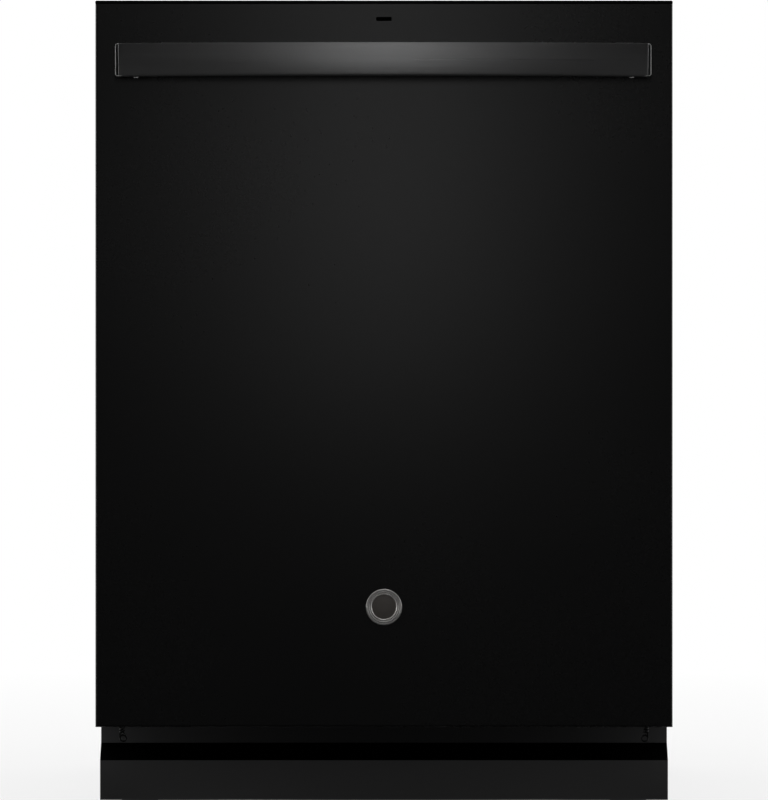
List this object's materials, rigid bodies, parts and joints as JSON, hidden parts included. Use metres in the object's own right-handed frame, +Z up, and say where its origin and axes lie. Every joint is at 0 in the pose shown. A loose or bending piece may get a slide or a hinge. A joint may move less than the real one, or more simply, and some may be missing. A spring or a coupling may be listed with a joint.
{
  "type": "built-in dishwasher",
  "caption": "Black built-in dishwasher with a bowed bar handle, a drop-down door with hidden top keys, and a steel tub with two pull-out wire racks and spray arms.",
  "frame": {"origin": "on the floor under the middle of the machine's box, handle included, door shut", "axes": "+X to the right as one faces the door, +Y from the front to the back, +Z up"},
  "size_m": [0.603, 0.652, 0.848],
  "materials": {
    "black_enamel": "semi-gloss",
    "black_satin_metal": "satin",
    "black_moulding": "fine grain",
    "dark_lens": "polished",
    "dark_chrome": "polished",
    "key_plastic": "satin",
    "circuit_board": "lacquered",
    "stainless": "brushed",
    "bright_steel": "plain",
    "galvanised": "zinc",
    "spring_steel": "drawn wire",
    "blackened_wire": "blackened",
    "seal_rubber": "matt",
    "damping_sheet": "matt",
    "coated_wire": "nylon coat",
    "grey_moulding": "fine grain",
    "blue_moulding": "fine grain",
    "dark_moulding": "fine grain"
  },
  "bodies": {
    "cabinet": {"tub": "stainless", "tub_gasket": "seal_rubber", "damping_pads": "damping_sheet", "countertop_brackets": "galvanised", "latch_strike": "galvanised", "base_rail_left": "galvanised", "base_rail_right": "galvanised", "rear_rail": "galvanised", "levelling_feet": "galvanised", "hinge_bracket_left": "galvanised", "hinge_bracket_right": "galvanised", "balance_springs": "spring_steel", "access_panel": "black_enamel", "toe_kick": "black_enamel", "sump": "dark_moulding", "filter_basket": "dark_moulding", "heater": "bright_steel", "feed_tube": "grey_moulding", "circulation_pump": "dark_moulding", "drain_pump": "dark_moulding", "inlet_valve": "dark_moulding", "junction_box": "galvanised", "rail_guides": "grey_moulding"},
    "door": {"door_panel": "black_enamel", "status_window": "dark_lens", "badge": "dark_chrome", "handle_bar": "black_satin_metal", "handle_brackets": "black_moulding", "handle_set_screws": "bright_steel", "control_console": "black_moulding", "display_lens": "dark_lens", "control_board": "circuit_board", "door_liner": "stainless", "liner_screws": "bright_steel", "dispenser_body": "grey_moulding", "vent_cover": "grey_moulding", "door_latch": "dark_moulding", "hinge_arm_left": "galvanised", "hinge_arm_right": "galvanised"},
    "rack_rails": {"rack_rail_left": "bright_steel", "rack_rail_right": "bright_steel"},
    "upper_rack": {"upper_rack": "coated_wire", "upper_feed_pipe": "grey_moulding"},
    "lower_rack": {"lower_rack": "coated_wire", "silverware_basket": "grey_moulding"},
    "dispenser_cover": {"dispenser_cover": "grey_moulding"},
    "rinse_aid_cap": {"rinse_aid_cap": "blue_moulding"},
    "pull_loops": {"pull_loops": "blackened_wire"},
    "middle_spray_arm": {"middle_spray_arm": "grey_moulding"},
    "lower_spray_arm": {"lower_spray_arm": "grey_moulding"},
    "fold_tines": {"fold_tines": "coated_wire"},
    "upper_wheels_front": {"upper_wheels_front": "grey_moulding"},
    "upper_wheels_rear": {"upper_wheels_rear": "grey_moulding"},
    "lower_wheels_front": {"lower_wheels_front": "grey_moulding"},
    "lower_wheels_rear": {"lower_wheels_rear": "grey_moulding"},
    "start_key": {"start_key": "key_plastic"},
    "cycle_key": {"cycle_key": "key_plastic"},
    "heat_key": {"heat_key": "key_plastic"},
    "dry_key": {"dry_key": "key_plastic"},
    "delay_key": {"delay_key": "key_plastic"}
  },
  "joints": [
    {"name": "door_hinge", "type": "hinge", "parent": "cabinet", "child": "door", "pos_m": [0, -0.234, 0.112], "axis": [1, 0, 0], "range_deg": [0, 90], "stiffness_Nm_per_rad": 22},
    {"name": "rack_rails_slide", "type": "slide", "parent": "cabinet", "child": "rack_rails", "axis": [0, -1, 0], "range_m": [0, 0.2357]},
    {"name": "upper_rack_slide", "type": "slide", "parent": "rack_rails", "child": "upper_rack", "axis": [0, -1, 0], "range_m": [0, 0.2357]},
    {"name": "lower_rack_slide", "type": "slide", "parent": "cabinet", "child": "lower_rack", "axis": [0, -1, 0], "range_m": [0, 0.0865]},
    {"name": "pull_loops_swing", "type": "hinge", "parent": "door", "child": "pull_loops", "pos_m": [0, -0.204, 0.1], "axis": [1, 0, 0], "range_deg": [-91, 1]},
    {"name": "lower_spray_arm_spin", "type": "hinge", "parent": "cabinet", "child": "lower_spray_arm", "pos_m": [0, 0.021, 0.138], "axis": [0, 0, 1], "continuous": true},
    {"name": "middle_spray_arm_spin", "type": "hinge", "parent": "upper_rack", "child": "middle_spray_arm", "pos_m": [0, 0.021, 0.557], "axis": [0, 0, 1], "continuous": true},
    {"name": "fold_tines_fold", "type": "hinge", "parent": "lower_rack", "child": "fold_tines", "pos_m": [0.1425, 0.065, 0.16835], "axis": [0, -1, 0], "range_deg": [0, 85]},
    {"name": "dispenser_cover_slide", "type": "slide", "parent": "door", "child": "dispenser_cover", "axis": [0, 0, -1], "range_m": [0, 0.056]},
    {"name": "rinse_aid_cap_twist", "type": "hinge", "parent": "door", "child": "rinse_aid_cap", "pos_m": [0.042, -0.223, 0.463], "axis": [0, 1, 0], "range_deg": [0, 90]},
    {"name": "upper_wheels_front_roll", "type": "hinge", "parent": "upper_rack", "child": "upper_wheels_front", "pos_m": [0, 0.04644, 0.64], "axis": [1, 0, 0], "continuous": true},
    {"name": "upper_wheels_rear_roll", "type": "hinge", "parent": "upper_rack", "child": "upper_wheels_rear", "pos_m": [0, 0.19911, 0.64], "axis": [1, 0, 0], "continuous": true},
    {"name": "lower_wheels_front_roll", "type": "hinge", "parent": "lower_rack", "child": "lower_wheels_front", "pos_m": [0, -0.0706, 0.1353], "axis": [1, 0, 0], "continuous": true},
    {"name": "lower_wheels_rear_roll", "type": "hinge", "parent": "lower_rack", "child": "lower_wheels_rear", "pos_m": [0, 0.2042, 0.1353], "axis": [1, 0, 0], "continuous": true},
    {"name": "start_key_press", "type": "slide", "parent": "door", "child": "start_key", "axis": [0, 0, -1], "range_m": [0, 0.001], "stiffness_N_per_m": 1500, "springref_m": -0.0006},
    {"name": "cycle_key_press", "type": "slide", "parent": "door", "child": "cycle_key", "axis": [0, 0, -1], "range_m": [0, 0.001], "stiffness_N_per_m": 1500, "springref_m": -0.0006},
    {"name": "heat_key_press", "type": "slide", "parent": "door", "child": "heat_key", "axis": [0, 0, -1], "range_m": [0, 0.001], "stiffness_N_per_m": 1500, "springref_m": -0.0006},
    {"name": "dry_key_press", "type": "slide", "parent": "door", "child": "dry_key", "axis": [0, 0, -1], "range_m": [0, 0.001], "stiffness_N_per_m": 1500, "springref_m": -0.0006},
    {"name": "delay_key_press", "type": "slide", "parent": "door", "child": "delay_key", "axis": [0, 0, -1], "range_m": [0, 0.001], "stiffness_N_per_m": 1500, "springref_m": -0.0006}
  ],
  "couplings": [
    {"joint": "rack_rails_slide", "follows": "door_hinge", "m_per_rad": 0.15},
    {"joint": "upper_rack_slide", "follows": "door_hinge", "m_per_rad": 0.15},
    {"joint": "lower_rack_slide", "follows": "door_hinge", "m_per_rad": 0.055},
    {"joint": "pull_loops_swing", "follows": "door_hinge", "ratio": -1},
    {"joint": "upper_wheels_front_roll", "follows": "door_hinge", "ratio": 17.241},
    {"joint": "upper_wheels_rear_roll", "follows": "door_hinge", "ratio": 17.241},
    {"joint": "lower_wheels_front_roll", "follows": "door_hinge", "ratio": 3.2353},
    {"joint": "lower_wheels_rear_roll", "follows": "door_hinge", "ratio": 3.2353}
  ]
}
